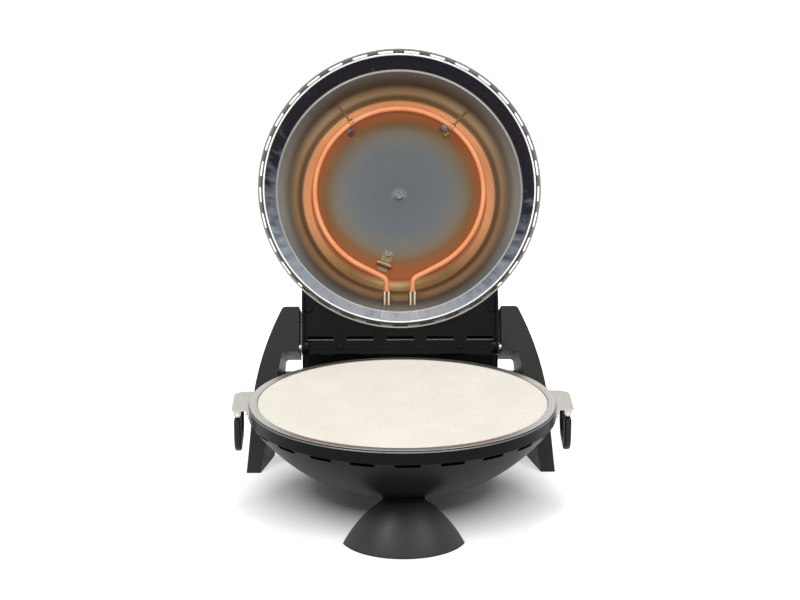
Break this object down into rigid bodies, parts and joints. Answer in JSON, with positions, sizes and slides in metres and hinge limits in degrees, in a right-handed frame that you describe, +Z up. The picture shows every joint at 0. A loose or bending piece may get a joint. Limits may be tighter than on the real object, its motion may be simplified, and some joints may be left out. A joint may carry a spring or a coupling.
{
  "type": "electric pizza maker",
  "caption": "Round countertop pizza oven with a stone deck, hinged domed lid with a heating element, folding side handles and a rear control box.",
  "frame": {"origin": "on the table straight below the middle of the stone", "axes": "+X to the right seen from the front, +Y to the back where the lid hinges, +Z up"},
  "size_m": [0.3632, 0.5487, 0.4532],
  "materials": {
    "stone": "matt fired clay",
    "rim_enamel": "satin grey-beige",
    "zinc": "dull zinc",
    "black_paint": "satin black",
    "element": "heat-darkened",
    "steel": "satin",
    "ceramic": "unglazed",
    "black_plastic": "fine satin",
    "rubber": "matt",
    "bright_steel": "polished",
    "satin_steel": "satin",
    "lid_enamel": "satin, black outside in the looks",
    "reflector": "brushed",
    "glowing_element": "hot, glowing dull orange",
    "copper": "dull copper",
    "black_screw": "black oxide",
    "bush": "natural",
    "control_case": "moulded",
    "knob_plastic": "satin black",
    "brass": "plain",
    "lamp_lens": "clear red"
  },
  "bodies": {
    "base": {"refractory_stone": "stone", "lower_pan": "rim_enamel", "pan_spacers": "zinc", "pan_screws": "zinc", "lower_bowl": "black_paint", "lower_heating_element": "element", "lower_element_ferrules": "steel", "lower_element_terminals": "steel", "lower_element_cradles": "ceramic", "front_foot": "black_plastic", "front_foot_pad": "rubber", "front_foot_screws": "zinc", "left_leg": "black_plastic", "right_leg": "black_plastic", "leg_pads": "rubber", "leg_screws": "zinc", "hinge_pins": "bright_steel", "rear_bridge": "black_plastic", "bridge_screws": "zinc", "bridge_cover": "black_plastic", "bridge_cover_screws": "zinc", "cord_gland": "rubber", "lower_terminal_block": "ceramic", "stop_bumpers": "rubber", "left_handle_bracket": "satin_steel", "right_handle_bracket": "satin_steel", "left_handle_pin": "bright_steel", "right_handle_pin": "bright_steel", "handle_rivets": "bright_steel"},
    "lid": {"lid_shell": "lid_enamel", "lid_pan": "reflector", "lid_pan_posts": "zinc", "lid_pan_screws": "steel", "upper_heating_element": "glowing_element", "upper_element_ferrules": "steel", "upper_element_terminals": "steel", "element_clips": "steel", "leaf_clip": "steel", "sensor_clip": "steel", "sensor_bulb": "copper", "lid_handle": "black_plastic", "lid_handle_screws": "zinc", "control_box": "black_plastic", "control_box_base": "black_plastic", "control_box_screws": "black_screw", "box_mount_screws": "zinc", "hinge_bushes": "bush", "thermostat_body": "control_case", "timer_body": "control_case", "timer_bell": "brass", "pilot_lamp": "lamp_lens", "upper_terminal_block": "ceramic"},
    "thermostat_dial": {"thermostat_shaft": "bright_steel", "thermostat_knob": "knob_plastic"},
    "timer_dial": {"timer_shaft": "bright_steel", "timer_knob": "knob_plastic"},
    "left_carry_handle": {"left_grip": "black_plastic"},
    "right_carry_handle": {"right_grip": "black_plastic"}
  },
  "joints": [
    {"name": "lid_hinge", "type": "hinge", "parent": "base", "child": "lid", "pos_m": [0, 0.1853, 0.1298], "axis": [1, 0, 0], "range_deg": [0, 112.5]},
    {"name": "thermostat_turn", "type": "hinge", "parent": "lid", "child": "thermostat_dial", "pos_m": [-0.062, 0.24091, 0.12761], "axis": [0, 0.9235, -0.3835], "range_deg": [0, 270]},
    {"name": "timer_turn", "type": "hinge", "parent": "lid", "child": "timer_dial", "pos_m": [0.062, 0.24091, 0.12761], "axis": [0, 0.9235, -0.3835], "range_deg": [0, 300]},
    {"name": "left_handle_swing", "type": "hinge", "parent": "base", "child": "left_carry_handle", "pos_m": [-0.1755, 0.01, 0.117], "axis": [0, 1, 0], "range_deg": [0, 78]},
    {"name": "right_handle_swing", "type": "hinge", "parent": "base", "child": "right_carry_handle", "pos_m": [0.1755, 0.01, 0.117], "axis": [0, -1, 0], "range_deg": [0, 78]}
  ]
}
